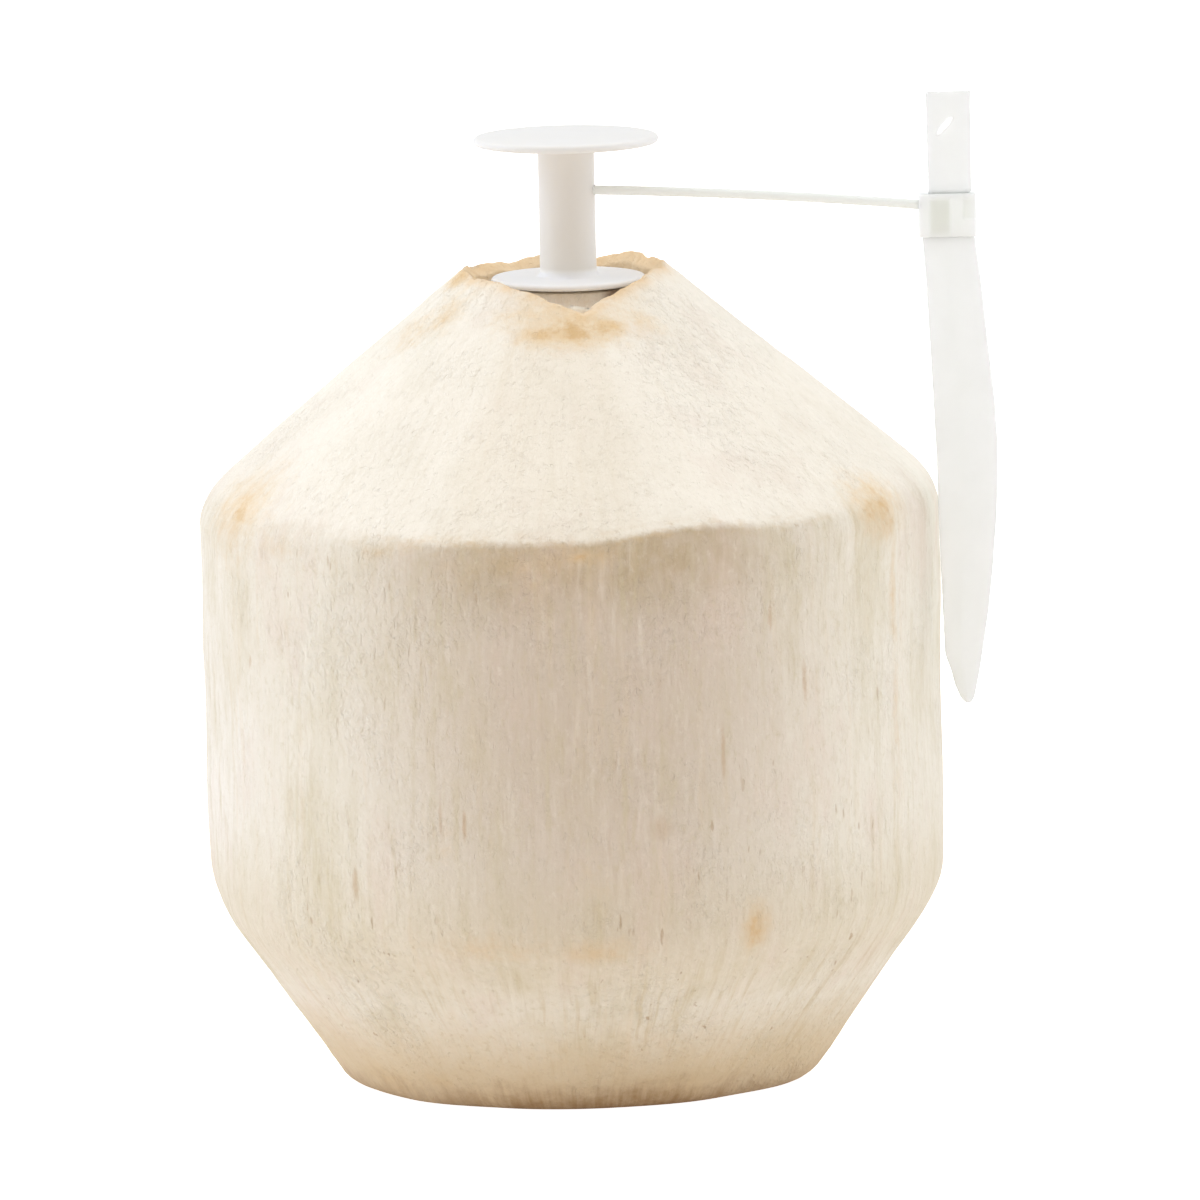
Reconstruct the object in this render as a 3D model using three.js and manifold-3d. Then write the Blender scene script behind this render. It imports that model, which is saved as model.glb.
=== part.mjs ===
// Young coconut trimmed for drinking, closed by a moulded stopper whose arm carries a scoop.
// Millimetres, +Z up. The origin is the centre of the flat base. The notch of the opening
// faces -Y, and the scoop hangs on the +X side.
import * as THREE from 'three';
import { mergeVertices } from 'three/addons/utils/BufferGeometryUtils.js';
import Module from 'manifold-3d';

// Driving dimensions of the husk: where its cut faces would meet if their edges were sharp
const BASE_RADIUS = 36.4;
const LOWER_EDGE_RADIUS = 57.4;
const LOWER_EDGE_Z = 29.4;
const SHOULDER_RADIUS = 57.8;
const SHOULDER_Z = 91.7;
const APEX_Z = 140.6;
const BASE_ROUNDING = 5;
const LOWER_ROUNDING = 13;
const SHOULDER_ROUNDING = 6;
const RIM_ROUNDING = 0.5;

// Knife work differs round the husk: [azimuth in degrees, change in mm]
const BASE_REACH = [
  [-180, 0.2], [-140, -1.2], [-112, -3.2], [-80, -3.6], [-50, -2.4], [-20, 0.2], [15, 0.3], [60, -1.0],
  [110, 0.4], [150, -0.8],
];
const LOWER_RISE = [
  [-180, 1.0], [-140, -0.6], [-104, 0.8], [-66, -0.7], [-28, 0.6], [14, 0.2], [50, 0.9], [98, -0.8],
  [142, 0.6],
];
const SHOULDER_RISE = [
  [-180, 0.7], [-156, -0.6], [-138, 0.8], [-120, 0.4], [-90, 0.6], [-69, 2.4], [-56, 1.4], [-40, 1.8],
  [0, 1.1], [30, 0.4], [62, 1.0], [95, -0.2], [128, 0.7], [158, -0.5],
];
const BELLY_SWELL = [
  [-180, 0.2], [-150, -0.5], [-118, 0.3], [-84, -0.4], [-52, 0.3], [-20, -0.2], [20, 0.2], [58, -0.5],
  [96, 0.3], [132, -0.4],
];

// Opening: plan corners as [azimuth in degrees, radius], straight between them, notch in front
const NOTCH_AZIMUTH = -82.5;
const OPENING = [
  [-180, 15.6], [-150, 16.0], [-120, 17.2], [-97.5, 19.3], [NOTCH_AZIMUTH, 21.8], [-67.5, 19.2],
  [-45, 16.8], [-15, 15.7], [15, 15.7], [45, 16.4], [75, 16.9], [120, 17.2], [150, 16.8], [165, 15.6],
];
const SCRAP_AZIMUTH = 48;
const SCRAP_SPREAD = 11;
const SCRAP_RISE = 1.3;
const OPENING_TAPER = 0.9;
const FLOOR_Z = 121.6;
const SEAT_RADIUS = 10.2;
const SEAT_FLARE = 0.6;
const SEAT_Z = 124.35;
const BORE_RADIUS = 5.4;
const BORE_BOTTOM_Z = 111.5;
const HUSK_COLUMNS = 96;

// Stopper: turned parts stand on one axis, a little to the right of the husk's own
const STOPPER_X = 0.6;
const DISC_RADIUS = 14.4;
const DISC_TOP_Z = 147.7;
const DISC_THICKNESS = 1.3;
const STEM_RADIUS = 4.4;
const FLANGE_RADIUS = 12;
const FLANGE_TOP_Z = 125.75;
const FLANGE_THICKNESS = 1.0;
const SPIGOT_RADIUS = 5.0;
const SPIGOT_BOTTOM_Z = 113.5;
const SPIGOT_LEAD = 1;
const MOULDED_EDGE = 0.4;
const STEM_FILLET = 0.9;
const ROUND_SIDES = 48;

// Arm and collar: the arm leaves the stem towards the right front and droops slightly
const ARM_RADIUS = 0.75;
const ARM_START_Z = 139.2;
const ARM_END_Z = 137.4;
const COLLAR_LEFT = 54.75;
const COLLAR_RIGHT = 63.65;
const COLLAR_Y = -14;
const COLLAR_DEPTH = 3.6;
const COLLAR_BOTTOM_Z = 132.4;
const COLLAR_TOP_Z = 139.1;
const SLOT_LEFT = 55.95;
const SLOT_RIGHT = 62.75;
const SLOT_DEPTH = 1.5;
const WINDOW = { left: 56.35, right: 59.7, bottom: COLLAR_BOTTOM_Z - 1, top: 138.4 };
const SIDE_WINDOW = { left: 61.6, right: COLLAR_RIGHT + 1, bottom: 135.2, top: 138.2 };
const GUSSET_HEIGHT = 2.2;
const GUSSET_DEPTH = 1.2;

// Scoop: a strip in the plane y = COLLAR_Y, from the cut top of its handle, through its neck in
// the collar, down to the blade's tip, as [z, left x, right x]
const SCOOP_LEVELS = [
  [154.9, 56.1, 63.05], [140.1, 56.3, 63.05], [139.5, 56.3, 62.4], [132.0, 56.3, 62.4], [131.6, 55.4, 63.4],
  [125.6, 55.75, 64.2], [116, 56.2, 65.1], [106.8, 56.6, 66.05], [99.8, 56.85, 66.4], [95, 57.0, 66.4],
  [88, 57.1, 66.0], [81, 57.3, 65.4], [74, 57.5, 64.6], [67.1, 57.75, 63.5], [64.7, 58.6, 63.1],
  [62.3, 59.2, 62.6], [60.4, 60.0, 62.2], [59.6, 60.7, 61.7],
];
const SCOOP_THICKNESS = 0.9;
const SCOOP_EDGE = 0.45;
const CREASE_SHARE = 0.42;
const BLADE_DISH = 0.35;

const wasm = await Module();
wasm.setup();

const radians = (degrees) => degrees * Math.PI / 180;

// Azimuth list used as a closed ring: the two neighbours of an azimuth, and the share between them
function neighbours(list, azimuth) {
  const next = list.findIndex(([corner]) => corner > azimuth);
  const high = next === -1 ? [list[0][0] + 360, list[0][1]] : list[next];
  const low = next === -1 ? list[list.length - 1] : list[next - 1];
  return { low, high, share: (azimuth - low[0]) / (high[0] - low[0]) };
}

// Smooth change round the husk
function around(list, azimuth) {
  const { low, high, share } = neighbours(list, azimuth);
  return low[1] + (high[1] - low[1]) * (1 - Math.cos(Math.PI * share)) / 2;
}

// Distance from the husk's axis to a circle round the stopper's axis
function seatRadius(azimuth, radius) {
  const across = STOPPER_X * Math.sin(radians(azimuth));
  return STOPPER_X * Math.cos(radians(azimuth)) + Math.sqrt(radius ** 2 - across ** 2);
}

// Radius of the opening: where the ray at this azimuth crosses the straight side between two corners
function openingRadius(azimuth) {
  const { low, high } = neighbours(OPENING, azimuth);
  const start = radians(azimuth - low[0]);
  const end = radians(high[0] - azimuth);
  return low[1] * high[1] * Math.sin(start + end) / (low[1] * Math.sin(start) + high[1] * Math.sin(end));
}

// Points of an arc that rounds a corner of the profile; start and end are the neighbouring corners
function roundedCorner(start, corner, end, radius, steps) {
  const toStart = start.clone().sub(corner).normalize();
  const toEnd = end.clone().sub(corner).normalize();
  const half = Math.acos(toStart.dot(toEnd)) / 2;
  const centre = toStart.clone().add(toEnd).normalize().multiplyScalar(radius / Math.sin(half)).add(corner);
  const first = toStart.clone().multiplyScalar(radius / Math.tan(half)).add(corner).sub(centre);
  const last = toEnd.clone().multiplyScalar(radius / Math.tan(half)).add(corner).sub(centre);
  const turn = Math.atan2(first.x * last.y - first.y * last.x, first.dot(last));
  return Array.from({ length: steps + 1 }, (_, i) =>
    first.clone().rotateAround(new THREE.Vector2(), turn * i / steps).add(centre));
}

// Straight stretch between two profile points, without its ends
function between(start, end, count) {
  return Array.from({ length: count }, (_, i) => start.clone().lerp(end, (i + 1) / (count + 1)));
}

// Profile of the husk at one azimuth, as (radius, z) from the base's middle to the bore's middle
function huskProfile(azimuth) {
  const point = (radius, z) => new THREE.Vector2(radius, z);
  const swell = around(BELLY_SWELL, azimuth);
  const base = point(BASE_RADIUS + around(BASE_REACH, azimuth), 0);
  const lower = point(LOWER_EDGE_RADIUS + swell / 2, LOWER_EDGE_Z + around(LOWER_RISE, azimuth));
  const shoulder = point(SHOULDER_RADIUS, SHOULDER_Z + around(SHOULDER_RISE, azimuth));
  const middle = lower.clone().lerp(shoulder, 0.5).add(point(swell, 0));
  const opening = openingRadius(azimuth);
  const scrap = SCRAP_RISE * Math.exp(-(((azimuth - SCRAP_AZIMUTH) / SCRAP_SPREAD) ** 2));
  const rim = point(opening, APEX_Z - (APEX_Z - shoulder.y) * opening / SHOULDER_RADIUS + scrap);
  const foot = point(opening * OPENING_TAPER, FLOOR_Z);
  const seat = [
    [SEAT_RADIUS + SEAT_FLARE, FLOOR_Z], [SEAT_RADIUS, SEAT_Z],
    [BORE_RADIUS, SEAT_Z], [BORE_RADIUS, BORE_BOTTOM_Z],
  ].map(([radius, z]) => point(seatRadius(azimuth, radius), z));
  const baseArc = roundedCorner(point(0, 0), base, lower, BASE_ROUNDING, 4);
  const lowerArc = roundedCorner(base, lower, middle, LOWER_ROUNDING, 5);
  const shoulderArc = roundedCorner(middle, shoulder, rim, SHOULDER_ROUNDING, 4);
  const rimArc = roundedCorner(shoulder, rim, foot, RIM_ROUNDING, 2);
  return [
    point(0, 0), ...baseArc, ...between(baseArc.at(-1), lowerArc[0], 1), ...lowerArc,
    ...between(lowerArc.at(-1), middle, 1), middle, ...between(middle, shoulderArc[0], 1), ...shoulderArc,
    ...between(shoulderArc.at(-1), rimArc[0], 3), ...rimArc, foot, ...seat, point(0, BORE_BOTTOM_Z),
  ];
}

// Closed skin through the profiles at even azimuths; the first and last points lie on the axis
function skin(profileAt, columns) {
  const profiles = Array.from({ length: columns }, (_, i) => profileAt(-180 + 360 * i / columns));
  const rows = profiles[0].length - 2;
  const positions = [0, 0, profiles[0][0].y, 0, 0, profiles[0][rows + 1].y];
  profiles.forEach((profile, column) => {
    const azimuth = radians(-180 + 360 * column / columns);
    for (const { x, y } of profile.slice(1, -1)) {
      positions.push(x * Math.cos(azimuth), x * Math.sin(azimuth), y);
    }
  });
  const at = (column, row) => 2 + (column % columns) * rows + row;
  const faces = [];
  for (let column = 0; column < columns; column += 1) {
    faces.push(0, at(column + 1, 0), at(column, 0));
    for (let row = 0; row < rows - 1; row += 1) {
      faces.push(at(column, row), at(column + 1, row), at(column + 1, row + 1));
      faces.push(at(column, row), at(column + 1, row + 1), at(column, row + 1));
    }
    faces.push(1, at(column, rows - 1), at(column + 1, rows - 1));
  }
  const geometry = new THREE.BufferGeometry();
  geometry.setAttribute('position', new THREE.Float32BufferAttribute(positions, 3));
  geometry.setIndex(faces);
  return geometry;
}

// Solid from a closed geometry, and geometry from a solid
function solid(geometry) {
  const bare = geometry.index ? geometry.toNonIndexed() : geometry.clone();
  bare.deleteAttribute('normal');
  bare.deleteAttribute('uv');
  const merged = mergeVertices(bare, 1e-4);
  return new wasm.Manifold(new wasm.Mesh({
    numProp: 3,
    vertProperties: new Float32Array(merged.attributes.position.array),
    triVerts: new Uint32Array(merged.index.array),
  }));
}

function geometryOf(manifold) {
  const { vertProperties, triVerts } = manifold.getMesh();
  const geometry = new THREE.BufferGeometry();
  geometry.setAttribute('position', new THREE.BufferAttribute(vertProperties, 3));
  geometry.setIndex(new THREE.BufferAttribute(triVerts, 1));
  geometry.computeVertexNormals();
  return geometry;
}

// Turned body of the stopper, from the spigot's tip up to the disc
function turnedStopper() {
  const flangeBottom = FLANGE_TOP_Z - FLANGE_THICKNESS;
  const discBottom = DISC_TOP_Z - DISC_THICKNESS;
  const fillet = (z, up, steps) => Array.from({ length: steps + 1 }, (_, i) => {
    const angle = Math.PI / 2 * i / steps;
    return [STEM_RADIUS + STEM_FILLET * (1 - Math.sin(angle)), z + up * STEM_FILLET * (1 - Math.cos(angle))];
  });
  const profile = [
    [0, SPIGOT_BOTTOM_Z], [SPIGOT_RADIUS - SPIGOT_LEAD, SPIGOT_BOTTOM_Z],
    [SPIGOT_RADIUS, SPIGOT_BOTTOM_Z + 2 * SPIGOT_LEAD], [SPIGOT_RADIUS, flangeBottom],
    [FLANGE_RADIUS - MOULDED_EDGE, flangeBottom],
    [FLANGE_RADIUS, flangeBottom + MOULDED_EDGE], [FLANGE_RADIUS, FLANGE_TOP_Z - MOULDED_EDGE],
    [FLANGE_RADIUS - MOULDED_EDGE, FLANGE_TOP_Z], ...fillet(FLANGE_TOP_Z, 1, 3),
    ...fillet(discBottom, -1, 3).reverse(), [DISC_RADIUS - MOULDED_EDGE, discBottom],
    [DISC_RADIUS, discBottom + MOULDED_EDGE], [DISC_RADIUS, DISC_TOP_Z - MOULDED_EDGE],
    [DISC_RADIUS - MOULDED_EDGE, DISC_TOP_Z], [0, DISC_TOP_Z],
  ];
  const turned = profile.map(([radius, z]) => new THREE.Vector2(radius, z));
  const lathe = new THREE.LatheGeometry(turned, ROUND_SIDES);
  return lathe.rotateX(Math.PI / 2).translate(STOPPER_X, 0, 0);
}

// Arm: a round rod that bows down towards its end, buried at both ends in what it joins
function arm() {
  const end = new THREE.Vector3((COLLAR_LEFT + SLOT_LEFT) / 2, COLLAR_Y, ARM_END_Z);
  const start = new THREE.Vector3(STOPPER_X, 0, ARM_START_Z);
  const level = start.clone().lerp(end, 0.5).setZ(ARM_START_Z);
  const section = new THREE.Shape().absarc(0, 0, ARM_RADIUS, 0, 2 * Math.PI);
  const extrudePath = new THREE.QuadraticBezierCurve3(start, level, end);
  return new THREE.ExtrudeGeometry(section, { extrudePath, steps: 14, curveSegments: 6 });
}

// Solid whose front view is the given shape, centred on the collar's plane
function frontView(shape, depth) {
  const slab = new THREE.ExtrudeGeometry(shape, { depth, bevelEnabled: false });
  return solid(slab.translate(0, 0, -depth / 2).rotateX(Math.PI / 2).translate(0, COLLAR_Y, 0));
}

// Closed outlines through front-view points
const outline = (points) => new THREE.Shape(points.map(([x, y]) => new THREE.Vector2(x, y)));
const rectangle = ({ left, right, bottom, top }) =>
  outline([[left, bottom], [right, bottom], [right, top], [left, top]]);

// Collar: a sleeve with an upright slot right through it, windows in its front wall, and a small
// gusset standing on its left wall beside the handle
function collar() {
  const block = { left: COLLAR_LEFT, right: COLLAR_RIGHT, bottom: COLLAR_BOTTOM_Z, top: COLLAR_TOP_Z };
  const slot = { left: SLOT_LEFT, right: SLOT_RIGHT, bottom: COLLAR_BOTTOM_Z - 1, top: COLLAR_TOP_Z + 1 };
  const gusset = outline([
    [COLLAR_LEFT, COLLAR_TOP_Z - 1], [SLOT_LEFT, COLLAR_TOP_Z - 1], [SLOT_LEFT, COLLAR_TOP_Z + GUSSET_HEIGHT],
    [COLLAR_LEFT, COLLAR_TOP_Z],
  ]);
  const front = (window) => frontView(rectangle(window), COLLAR_DEPTH).translate([0, -COLLAR_DEPTH / 2, 0]);
  return frontView(rectangle(block), COLLAR_DEPTH)
    .add(frontView(gusset, GUSSET_DEPTH))
    .subtract(frontView(rectangle(slot), SLOT_DEPTH))
    .subtract(front(WINDOW))
    .subtract(front(SIDE_WINDOW));
}

function stopper() {
  return geometryOf(solid(turnedStopper()).add(solid(arm())).add(collar()));
}

// Scoop: six-sided sections with thin edges, joined level by level. Below the collar the section
// is dished towards the crease that runs down its front.
function scoop() {
  const rings = SCOOP_LEVELS.map(([z, left, right]) => {
    const dish = z < COLLAR_BOTTOM_Z ? BLADE_DISH : 0;
    const crease = left + (right - left) * CREASE_SHARE;
    const section = [
      [left, dish - SCOOP_EDGE / 2], [crease, -SCOOP_THICKNESS / 2], [right, dish - SCOOP_EDGE / 2],
      [right, dish + SCOOP_EDGE / 2], [crease, SCOOP_THICKNESS / 2], [left, dish + SCOOP_EDGE / 2],
    ];
    return section.map(([x, y]) => [x, COLLAR_Y + y, z]);
  });
  const sides = rings[0].length;
  const faces = [];
  const cap = (first, turn) => {
    for (let i = 1; i < sides - 1; i += 1) {
      faces.push(first, first + i + (turn ? 1 : 0), first + i + (turn ? 0 : 1));
    }
  };
  for (let level = 0; level < rings.length - 1; level += 1) {
    for (let side = 0; side < sides; side += 1) {
      const a = level * sides + side;
      const b = level * sides + (side + 1) % sides;
      faces.push(a, a + sides, b, b, a + sides, b + sides);
    }
  }
  cap(0, false);
  cap((rings.length - 1) * sides, true);
  const geometry = new THREE.BufferGeometry();
  geometry.setAttribute('position', new THREE.Float32BufferAttribute(rings.flat(2), 3));
  geometry.setIndex(faces);
  return geometry;
}

// The named pieces, each with its own finish
const husk = new THREE.MeshStandardMaterial({ color: 0xe9dac2, roughness: 0.85, metalness: 0 });
const whitePlastic = new THREE.MeshStandardMaterial({ color: 0xf0efec, roughness: 0.35, metalness: 0 });
const milkyPlastic = new THREE.MeshStandardMaterial({ color: 0xf1f1ef, roughness: 0.25, metalness: 0 });

function piece(name, geometry, material) {
  const mesh = new THREE.Mesh(geometry, material);
  mesh.name = name;
  return mesh;
}

const part = new THREE.Group();
part.add(piece('coconut', skin(huskProfile, HUSK_COLUMNS), husk));
part.add(piece('stopper', stopper(), whitePlastic));
part.add(piece('scoop', scoop(), milkyPlastic));

export default part;
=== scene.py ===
import math

import bmesh
import bpy
from mathutils import Matrix, Vector, noise


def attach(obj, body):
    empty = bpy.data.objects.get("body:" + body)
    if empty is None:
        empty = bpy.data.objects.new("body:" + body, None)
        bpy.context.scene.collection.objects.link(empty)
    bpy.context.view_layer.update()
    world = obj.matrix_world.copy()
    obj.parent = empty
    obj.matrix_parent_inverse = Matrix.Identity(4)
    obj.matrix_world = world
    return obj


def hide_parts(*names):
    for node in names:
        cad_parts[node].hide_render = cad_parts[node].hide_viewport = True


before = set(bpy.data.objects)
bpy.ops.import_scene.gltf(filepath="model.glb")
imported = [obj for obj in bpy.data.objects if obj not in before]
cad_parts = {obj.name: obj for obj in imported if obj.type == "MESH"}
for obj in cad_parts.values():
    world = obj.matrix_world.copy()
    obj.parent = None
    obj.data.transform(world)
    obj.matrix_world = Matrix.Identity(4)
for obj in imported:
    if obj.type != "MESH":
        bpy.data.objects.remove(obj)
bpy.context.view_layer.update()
mm = 0.001


# Husk
# One young coconut pared with a knife to its pale, fibrous husk: a flat cut base, a cone, an upright
# belly and an upper cone. The opening in its top has a V notch in front, and a raised seat round the bore.
base_radius = 36.4 * mm
base_rounding = 5 * mm
lower_edge_radius = 57.4 * mm
lower_edge_z = 29.4 * mm
shoulder_radius = 57.8 * mm
shoulder_z = 91.7 * mm
apex_z = 140.6 * mm
stopper_x = 0.6 * mm
opening_radius = 16.4 * mm
rim_bevel = 2.2 * mm
rim_bevel_slope = 0.65
floor_z = 121.6 * mm
seat_radius = 10.2 * mm
seat_z = 124.35 * mm
seat_flare = 0.6 * mm
bore_radius = 5.4 * mm
bore_bottom_z = 111.5 * mm

# Knife work differs round the husk: (azimuth in degrees, amount in mm)
base_reach = ((-180, 0.2), (-140, -1.2), (-112, -3.2), (-80, -3.6), (-50, -2.4), (-20, 0.2), (15, 0.3),
              (60, -1.0), (110, 0.4), (150, -0.8))
lower_rise = ((-180, 1.0), (-140, -0.6), (-104, 0.8), (-66, -0.7), (-28, 0.6), (14, 0.2), (50, 0.9),
              (98, -0.8), (142, 0.6))
shoulder_rise = ((-180, 0.7), (-156, -0.6), (-138, 0.8), (-120, 0.4), (-90, 0.6), (-69, 2.4), (-56, 1.4),
                 (-40, 1.8), (0, 1.1), (30, 0.4), (62, 1.0), (95, -0.2), (128, 0.7), (158, -0.5))
shoulder_softness = ((-180, 5.5), (-140, 5.0), (-121, 3.0), (-106, 1.4), (-75, 1.2), (-52, 1.8),
                     (-34, 4.6), (-10, 5.2), (20, 3.4), (60, 2.0), (110, 1.6), (150, 3.4))
lower_softness = ((-180, 3.4), (-90, 3.8), (0, 3.0), (90, 3.4))
belly_swell = ((-180, 0.2), (-150, -0.5), (-118, 0.3), (-84, -0.4), (-52, 0.3), (-20, -0.2), (20, 0.2),
               (58, -0.5), (96, 0.3), (132, -0.4))
opening = ((-180, 16.1), (-150, 16.3), (-120, 17.2), (-97.5, 19.3), (-82.5, 21.8), (-67.5, 19.2),
           (-45, 16.8), (-15, 15.7), (15, 15.7), (45, 16.4), (75, 16.9), (120, 17.2), (150, 16.8),
           (165, 15.9))

# A flat facet on the right of the belly, from a crease to where it fades out (azimuths in degrees)
facet_crease = -29.5
facet_crease_width = 1.5
facet_end = 0
facet_fade = 14
facet_depth = 0.55 * mm
facet_low_z = 42 * mm
facet_full_z = 64 * mm

# A scrap of rim left standing at the back of the opening (azimuths in degrees)
scrap_azimuth = 48
scrap_spread = 11
scrap_rise = 1.3 * mm

# The mesh: columns round the husk, and rows that lie closer below the shoulder and in the opening
husk_columns = 320
wide_rows = 1.3 * mm
close_rows = 0.45 * mm
shoulder_band = 4 * mm
rim_band = 2 * mm
hair = 1e-6

# How far the ridge and the torn rim spread, and the softness of the shoulder where it is sharpest
ridge_reach = 1.2 * mm
rim_reach = 1.6 * mm
sharpest = 1.2 * mm


def neighbours(ring, azimuth):
    """The two entries of a closed ring on either side of an azimuth."""
    closed = [(ring[-1][0] - 360, ring[-1][1]), *ring, (ring[0][0] + 360, ring[0][1])]
    for low, high in zip(closed, closed[1:]):
        if azimuth < high[0]:
            return low, high
    return closed[-2], closed[-1]


def around(ring, azimuth):
    """Smooth change round the husk, in metres."""
    low, high = neighbours(ring, azimuth)
    share = (azimuth - low[0]) / (high[0] - low[0])
    return (low[1] + (high[1] - low[1]) * (1 - math.cos(math.pi * share)) / 2) * mm


def opening_at(azimuth):
    """Radius of the opening, whose plan is straight from corner to corner."""
    low, high = neighbours(opening, azimuth)
    start, end = math.radians(azimuth - low[0]), math.radians(high[0] - azimuth)
    top = low[1] * high[1] * math.sin(start + end)
    return top / (low[1] * math.sin(start) + high[1] * math.sin(end)) * mm


def softer(a, b, softness):
    """The lesser of two radii, with the edge where they meet rounded."""
    overlap = max(softness - abs(a - b), 0) / softness
    return min(a, b) - overlap * overlap * softness / 4


def clamp(value):
    return min(max(value, 0.0), 1.0)


def divided(points, spacing):
    """The points of a profile with evenly placed ones between them, about spacing(first, second) apart."""
    dense = [points[0]]
    for first, second in zip(points, points[1:]):
        cuts = 1 + int(math.dist(first, second) / spacing(first, second))
        for i in range(1, cuts + 1):
            dense.append(tuple(a + (b - a) * i / cuts for a, b in zip(first, second)))
    return dense


def turned(points, steps):
    """A closed bmesh turned round Z from the (radius, z) points of its profile."""
    shell = bmesh.new()
    wire = [shell.verts.new((radius, 0, z)) for radius, z in points]
    edges = [shell.edges.new(pair) for pair in zip(wire, wire[1:])]
    bmesh.ops.spin(shell, geom=wire + edges, cent=(0, 0, 0), axis=(0, 0, 1), angle=2 * math.pi, steps=steps,
                   use_merge=True)
    bmesh.ops.remove_doubles(shell, verts=shell.verts, dist=1e-7)
    bmesh.ops.recalc_face_normals(shell, faces=shell.faces)
    return shell


def arc(centre, radius, start, end, steps):
    """Points of an arc in a turned profile, angles in degrees."""
    return [(centre[0] + radius * math.cos(math.radians(start + (end - start) * i / steps)),
             centre[1] + radius * math.sin(math.radians(start + (end - start) * i / steps)))
            for i in range(steps + 1)]


def new_piece(name, shape):
    """A smoothly shaded object made of a finished bmesh, which is used up."""
    mesh = bpy.data.meshes.new(name)
    shape.to_mesh(mesh)
    shape.free()
    mesh.shade_smooth()
    piece = bpy.data.objects.new(name, mesh)
    bpy.context.collection.objects.link(piece)
    return piece


cone_slope = (apex_z - shoulder_z) / shoulder_radius
rim_z = apex_z - cone_slope * opening_radius
lower_angle = math.degrees(math.atan2(lower_edge_z, lower_edge_radius - base_radius))
base_tangent = base_rounding * math.tan(math.radians(lower_angle / 2))
husk_profile = [
    (0, 0),
    *arc((base_radius - base_tangent, base_rounding), base_rounding, -90, lower_angle - 90, 6),
    (lower_edge_radius, lower_edge_z),
    (shoulder_radius, shoulder_z - shoulder_band),
    (shoulder_radius, shoulder_z),
    (shoulder_radius - shoulder_band / cone_slope, shoulder_z + shoulder_band),
    (opening_radius + rim_band, rim_z - rim_band * cone_slope),
    (opening_radius, rim_z),
    (opening_radius - rim_bevel, rim_z - rim_bevel * rim_bevel_slope),
    (opening_radius - rim_bevel, floor_z),
    (seat_radius + seat_flare, floor_z),
    (seat_radius, seat_z),
    (bore_radius, seat_z),
    (bore_radius, bore_bottom_z),
    (0, bore_bottom_z),
]


def husk_spacing(first, second):
    """Rows lie closest just below the shoulder, at the rim and in the opening."""
    short = math.dist(first, second) < 1.5 * shoulder_band
    high = first[1] > shoulder_z - 1.25 * shoulder_band
    return close_rows if short and high else wide_rows


# Stains where the cut husk has browned: (x, y, z in mm, reach across and up in mm, strength)
husk_stains = (
    (-3.8, -24, 119.6, 4.8, 2.7, 0.95), (1, -24, 120, 9.5, 2.9, 0.88), (6.5, -23, 120.5, 5, 2.8, 0.9),
    (-6.5, -20.5, 122.4, 6.5, 4.2, 0.5), (1, -22, 121.8, 14, 5.2, 0.62), (11, -20, 120.6, 5, 4, 0.5),
    (-16, -3, 126, 4, 4, 0.9), (-18.5, -12, 121.2, 6, 6, 0.6), (-22, -9.5, 117.6, 6.5, 5.5, 0.5),
    (-20, 6, 122, 6, 5, 0.5), (48, -31.5, 93.2, 9.5, 7.2, 0.78), (49.4, -30.5, 92.5, 3, 3, 0.85),
    (50.2, -29.2, 80, 1.7, 13, 0.6), (50.6, -29, 60, 1.6, 14, 0.5), (-53, -22, 94, 13, 10, 0.65),
    (-51.5, -26, 89.5, 2.4, 2.4, 0.5), (-46, -35, 90, 9, 5, 0.3), (-29, -50, 90.6, 4, 1.6, 0.5),
    (-27, -51, 91.6, 8, 2.4, 0.3), (2, -57.5, 90.2, 7, 2.6, 0.55), (-8, -57.5, 89, 18, 4, 0.3),
    (27.2, -50, 31.5, 3.2, 5, 0.85), (3, -57, 29, 8, 2.6, 0.6), (-14, -56, 29.5, 12, 3, 0.45),
    (-20, -54, 45, 3, 4, 0.25), (3, -58, 40, 4.5, 6, 0.2), (-31, -24, 3, 8, 4, 0.75),
    (-22, -30, 5, 3, 3, 0.6), (34.5, -10, 3, 3, 3, 1.1), (-9, -36, 1, 16, 4, 0.6), (14, -35, 2, 14, 5, 0.5),
    (-33, 46, 93, 7, 4, 0.7), (20, 53, 92, 6, 3, 0.65), (52, 24, 60, 6, 8, 0.45), (-50, 26, 35, 7, 6, 0.55),
    (14, 20, 120, 8, 5, 0.7), (5, 57, 48, 9, 7, 0.45),
)
stain_edge = 1.2


def stain_at(point):
    """How far a point in mm lies within the stains: above 0 inside one, and most at its middle."""
    deepest = -1.0
    for x, y, z, across, tall, strength in husk_stains:
        if abs(point.z - z) < 2.5 * tall:
            away = math.hypot((point.x - x) / across, (point.y - y) / across, (point.z - z) / tall)
            deepest = max(deepest, (stain_edge - away) * strength)
    return deepest


def husk_radius(azimuth, z):
    """Radius of the husk's outside at a height: the least of its lower cone, belly and upper cone."""
    lower = base_radius + around(base_reach, azimuth)
    lower += z * (lower_edge_radius - lower) / (lower_edge_z + around(lower_rise, azimuth))
    rise = clamp((z - lower_edge_z) / (shoulder_z - lower_edge_z))
    belly = lower_edge_radius + (shoulder_radius - lower_edge_radius) * rise
    belly += around(belly_swell, azimuth) * (1 - abs(2 * rise - 1) * 0.5)
    facet = clamp((azimuth - facet_crease) / facet_crease_width) * clamp((facet_end - azimuth) / facet_fade)
    belly -= facet_depth * facet * clamp((z - facet_low_z) / (facet_full_z - facet_low_z))
    upper = (apex_z - z) / (apex_z - shoulder_z - around(shoulder_rise, azimuth)) * shoulder_radius
    radius = softer(belly, lower, around(lower_softness, azimuth))
    return softer(radius, upper, around(shoulder_softness, azimuth))


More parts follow.
